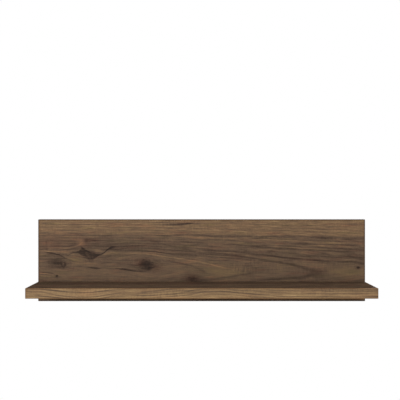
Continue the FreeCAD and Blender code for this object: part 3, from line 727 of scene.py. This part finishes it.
FRONT_BAND = Grain(
    seed=91.0,
    levels=even(BAND_LEVEL),
    axis=-60.0,
    slope=0.5,
    start=0.0,
    run=34.0,
    dips=((97.0, 50.0, 6.0), (320.0, 80.0, -8.0)),
    wander=4.0,
    vein=0.24,
    fibre=0.62,
    hair=0.3,
    threads=0.18,
    broad=0.03,
    stray=0.8,
    warmth=0.35,
    patches=(
        (20.0, 9.0, 30.0, 60.0, 0.03),
        (90.0, 9.0, 110.0, 60.0, 0.04),
        (400.0, 9.0, 120.0, 60.0, -0.02),
        (300.0, 14.2, 2000.0, 2.6, -0.035),
        (300.0, 5.0, 2000.0, 3.0, 0.03),
    ),
    strokes=(
        (((0.0, 12.5, 1.6, 0.0), (10.0, 11.7, 1.8, 1.0), (34.0, 10.4, 1.8, 1.0), (54.0, 6.0, 1.8, 1.0),
          (76.0, 3.2, 1.8, 1.0), (97.0, 2.5, 1.8, 1.0), (118.0, 3.2, 1.8, 1.0), (132.0, 5.4, 1.8, 1.0),
          (152.0, 8.8, 1.8, 1.0), (175.0, 10.4, 1.8, 0.8), (212.0, 9.3, 1.6, 0.0)), -0.16),
        (((12.0, 6.0, 1.4, 0.0), (24.0, 5.0, 1.6, 1.0), (48.0, 3.0, 1.6, 1.0), (70.0, 1.0, 1.4, 0.0)),
          -0.15),
        (((128.0, 1.5, 1.4, 0.0), (142.0, 3.4, 1.6, 1.0), (160.0, 5.9, 1.6, 1.0),
          (188.0, 6.8, 1.6, 1.0), (214.0, 4.4, 1.4, 0.0)), -0.15),
        (((186.0, 10.0, 1.4, 0.0), (200.0, 11.4, 1.6, 1.0), (231.0, 13.8, 1.6, 1.0),
          (258.0, 17.5, 1.4, 0.0)), -0.16),
        (((244.0, 7.2, 1.4, 0.0), (256.0, 9.0, 1.6, 1.0), (280.0, 13.1, 1.6, 1.0),
          (302.0, 17.0, 1.4, 0.0)), -0.15),
        (((236.0, 3.2, 1.4, 0.0), (250.0, 4.2, 1.6, 0.9), (280.0, 6.8, 1.6, 0.9),
          (296.0, 10.6, 1.6, 0.9), (318.0, 13.6, 1.4, 0.0)), -0.15),
        (((190.0, 2.0, 1.6, 0.0), (220.0, 2.8, 1.8, 1.0), (262.0, 3.8, 1.8, 1.0),
          (292.0, 4.8, 1.6, 0.0)), 0.12),
        (((392.0, 5.4, 1.6, 0.0), (420.0, 5.4, 1.8, 1.0), (456.0, 5.4, 1.8, 1.0),
          (484.0, 5.2, 1.6, 0.0)), 0.12),
        # painted highlight: a brighter line along the band's upper edge
        (((-10.0, 17.2, 1.2, 1.0), (610.0, 17.2, 1.2, 1.0)), 0.14),
    ),
    tints=(
        (104.0, 10.0, 18.0, 6.0, 0.3, REDDISH),
        (300.0, 9.0, 400.0, 60.0, 0.25, OLIVE),
        (1.0, 9.0, 2.6, 60.0, 1.0, SHADED),
        (600.0, 9.0, 2.4, 60.0, 0.6, SHADED),
    ),
)
PANEL_BANDS = Grain(seed=103.0, levels=even(92.0), axis=-90.0, slope=0.5, start=0.0, gloss=0.0)
SHELF_BANDS = Grain(seed=119.0, levels=even(BAND_LEVEL), axis=-70.0, slope=0.5, start=0.0, gloss=0.0)


def walnut(name, grain, axes):
    return Walnut(name, axes, grain).made()


DECOR = {
    "panel_front": walnut("panel_front", PANEL_FRONT, lambda x, y, z: (x - LEFT, z - BOTTOM)),
    "panel_back": walnut("panel_back", PANEL_BACK, lambda x, y, z: (RIGHT - x, z - BOTTOM)),
    "board_upper": walnut("board_upper", BOARD_UPPER, lambda x, y, z: (x - LEFT, PANEL_FACE - y)),
    "board_under": walnut("board_under", BOARD_UNDER, lambda x, y, z: (x - LEFT, PANEL_FACE - y)),
    "front_band": walnut("front_band", FRONT_BAND, lambda x, y, z: (x - LEFT, z - BOARD_BOTTOM)),
    "panel_long_bands": walnut("panel_long_bands", PANEL_BANDS, lambda x, y, z: (x - LEFT, y + z)),
    "panel_side_bands": walnut("panel_side_bands", PANEL_BANDS, lambda x, y, z: (z - BOTTOM, y + x)),
    "shelf_side_bands": walnut("shelf_side_bands", SHELF_BANDS, lambda x, y, z: (PANEL_FACE - y, z + x)),
}


def band_edge(name, dark, light):
    """A band's own brown plastic, which shows where its edges are rounded off."""
    tree = Tree(name)
    place = tree.millimetres()
    mottle = tree.blobs(place, size=9.0, detail=3.0)
    fine = tree.blobs(place, size=0.8)
    colour = tree.ramp(mottle, [(0.3, dark), (0.7, light)])
    roughness = fine * 0.15 + 0.42
    return tree.finish(colour, roughness, height=fine, depth=0.01, Specular_IOR_Level=0.04)


CHIP_SIZE = (1.8, 0.7, 1.1)  # mm along X, Y and Z


def chipboard():
    """Pressed wood chips, bare in the holes and recesses."""
    tree = Tree("chipboard")
    place = tree.millimetres()
    tilt = tree.blobs(place, size=4.0) * 3.0
    x, y, z = (part / size for part, size in zip(place, CHIP_SIZE))
    chip, gap = tree.cells(x + tilt, y, z + tilt)
    dust = tree.blobs(place, size=0.35)
    stops = [
        (0.0, srgb(120, 92, 60)),
        (0.35, srgb(168, 134, 92)),
        (0.7, srgb(196, 164, 120)),
        (1.0, srgb(216, 188, 146)),
    ]
    colour = tree.ramp(chip, stops)
    colour = tree.mix(tree.rise(dust, 0.35, 0.75) * 0.35, colour, srgb(140, 108, 70))
    roughness = dust * 0.1 + 0.82
    relief = gap * 0.7 + dust * 0.3
    return tree.finish(colour, roughness, height=relief, depth=0.25, Specular_IOR_Level=0.2)


def zinc():
    """Bright zinc plating, with a faint blue and straw bloom."""
    tree = Tree("zinc")
    place = tree.millimetres()
    bloom = tree.blobs(place, size=5.0, detail=3.0)
    grit = tree.blobs(place, size=0.25, detail=3.0)
    stops = [
        (0.3, srgb(196, 202, 210)),
        (0.5, srgb(206, 206, 204)),
        (0.7, srgb(210, 204, 188)),
    ]
    colour = tree.ramp(bloom, stops)
    roughness = bloom * 0.16 + grit * 0.14 + 0.2
    return tree.finish(colour, roughness, height=grit, depth=0.012, Metallic=1.0)


def beech():
    """Plain beech with its short dark flecks, along Y."""
    tree = Tree("beech")
    x, y, z = tree.millimetres()
    grain = tree.noise(x / 0.9, y / 14.0, z / 0.9, detail=4.0)
    fleck = tree.rise(tree.noise(x / 0.3, y / 1.6, z / 0.3, detail=1.0), 0.64, 0.74)
    colour = tree.ramp(grain, [(0.3, srgb(196, 154, 108)), (0.7, srgb(222, 186, 142))])
    colour = tree.mix(fleck * 0.6, colour, srgb(150, 104, 66))
    roughness = grain * 0.1 + 0.6
    relief = grain - fleck * 0.5
    return tree.finish(colour, roughness, height=relief, depth=0.04, Specular_IOR_Level=0.3)


PANEL_EDGE = band_edge("panel_edge", srgb(74, 53, 36), srgb(90, 66, 46))
SHELF_EDGE = band_edge("shelf_edge", srgb(110, 81, 55), srgb(124, 93, 65))
CHIPBOARD = chipboard()
ZINC = zinc()
BEECH = beech()


ALIGNED = 0.999  # least cosine between a face's normal and the direction that it looks along
SAME_HEIGHT = 0.01  # mm


def dot(one, other):
    return sum(a * b for a, b in zip(one, other))


def dress(node, rest, facing=()):
    """Gives a CAD node's faces their materials: each flat face that looks along one of facing's
    directions, at that height along it in mm, has that material, and all others have rest."""
    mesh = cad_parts[node].data
    mesh.materials.clear()
    mesh.materials.append(rest)
    for index, (direction, height, material) in enumerate(facing, start=1):
        mesh.materials.append(material)
        for face in mesh.polygons:
            aligned = dot(face.normal, direction) > ALIGNED
            if aligned and abs(dot(face.center, direction) / MM - height) < SAME_HEIGHT:
                face.material_index = index


FORWARD, BACKWARD, UP, DOWN = (0, -1, 0), (0, 1, 0), (0, 0, 1), (0, 0, -1)

dress(
    "back_panel",
    CHIPBOARD,
    [(FORWARD, -PANEL_FACE, DECOR["panel_front"]), (BACKWARD, BACK, DECOR["panel_back"])],
)
dress(
    "shelf_board",
    CHIPBOARD,
    [(UP, BOARD_TOP, DECOR["board_upper"]), (DOWN, -BOARD_BOTTOM, DECOR["board_under"])],
)
dress("shelf_band_front", SHELF_EDGE, [(FORWARD, -BOARD_FRONT, DECOR["front_band"])])
dress("panel_band_top", PANEL_EDGE, [(UP, TOP, DECOR["panel_long_bands"])])
dress("panel_band_bottom", PANEL_EDGE, [(DOWN, -BOTTOM, DECOR["panel_long_bands"])])
for side, sign in (("left", -1), ("right", 1)):
    outward = (sign, 0, 0)
    dress(f"panel_band_{side}", PANEL_EDGE, [(outward, RIGHT, DECOR["panel_side_bands"])])
    dress(f"shelf_band_{side}", SHELF_EDGE, [(outward, RIGHT, DECOR["shelf_side_bands"])])
    dress(f"keyhole_plate_{side}", ZINC)
    dress(f"dowel_{side}", BEECH)
    for level in ("upper", "lower"):
        dress(f"plate_screw_{side}_{level}", ZINC)
for side in ("left", "centre", "right"):
    dress(f"shelf_screw_{side}", ZINC)

# Light and surroundings

world = bpy.data.worlds.new("world")
bpy.context.scene.world = world
world.use_nodes = True
sky = world.node_tree.nodes
join = world.node_tree.links
background = sky["Background"]
background.inputs["Color"].default_value = (1.0, 1.0, 1.0, 1.0)


def either(one, other):
    """1 where either of two of the world's numbers is 1, and 0 elsewhere."""
    larger = sky.new("ShaderNodeMath")
    larger.operation = "MAXIMUM"
    join.new(one, larger.inputs[0])
    join.new(other, larger.inputs[1])
    return larger.outputs[0]


AMBIENT = 0.2  # strength of the world's light, whose background is seen at 1

rays = sky.new("ShaderNodeLightPath").outputs
seen = either(either(rays["Is Camera Ray"], rays["Is Glossy Ray"]), rays["Is Transmission Ray"])
strength = sky.new("ShaderNodeMapRange")
strength.inputs["To Min"].default_value = AMBIENT
strength.inputs["To Max"].default_value = 1.0
join.new(seen, strength.inputs["Value"])
join.new(strength.outputs["Result"], background.inputs["Strength"])


def area_light(name, place, aim, width, height, power):
    """Adds a rectangular lamp that looks from its place to its aim. Lengths are in metres."""
    data = bpy.data.lights.new(name, "AREA")
    data.shape = "RECTANGLE"
    data.size = width
    data.size_y = height
    data.energy = power
    lamp = bpy.data.objects.new(name, data)
    bpy.context.scene.collection.objects.link(lamp)
    lamp.location = place
    x, y, z = (a - b for a, b in zip(place, aim))
    lamp.rotation_euler = (math.atan2(math.hypot(x, y), z), 0.0, math.atan2(x, -y))


area_light("key", place=(-0.4, -2.7, 0.4), aim=(0.0, -0.05, -0.05), width=2.2, height=0.36, power=60.0)
area_light("behind", place=(0.6, 2.6, 0.9), aim=(0.0, 0.0, -0.05), width=1.6, height=0.8, power=26.0)

FLOOR_HALF, FLOOR_HEIGHT = 4.0, -1.1  # m
FLOOR_CORNERS = [(-1, -1), (1, -1), (1, 1), (-1, 1)]

floor_mesh = bpy.data.meshes.new("floor")
vertices = [(x * FLOOR_HALF, y * FLOOR_HALF, FLOOR_HEIGHT) for x, y in FLOOR_CORNERS]
floor_mesh.from_pydata(vertices, [], [(0, 1, 2, 3)])
floor = bpy.data.objects.new("floor", floor_mesh)
bpy.context.scene.collection.objects.link(floor)
paint = Tree("floor_paint")
speckle = paint.blobs(paint.millimetres(), size=40.0, detail=3.0)
tint = paint.ramp(speckle, [(0.3, srgb(236, 236, 236)), (0.7, srgb(242, 242, 242))])
floor_mesh.materials.append(paint.finish(tint, 0.9, Specular_IOR_Level=0.2))
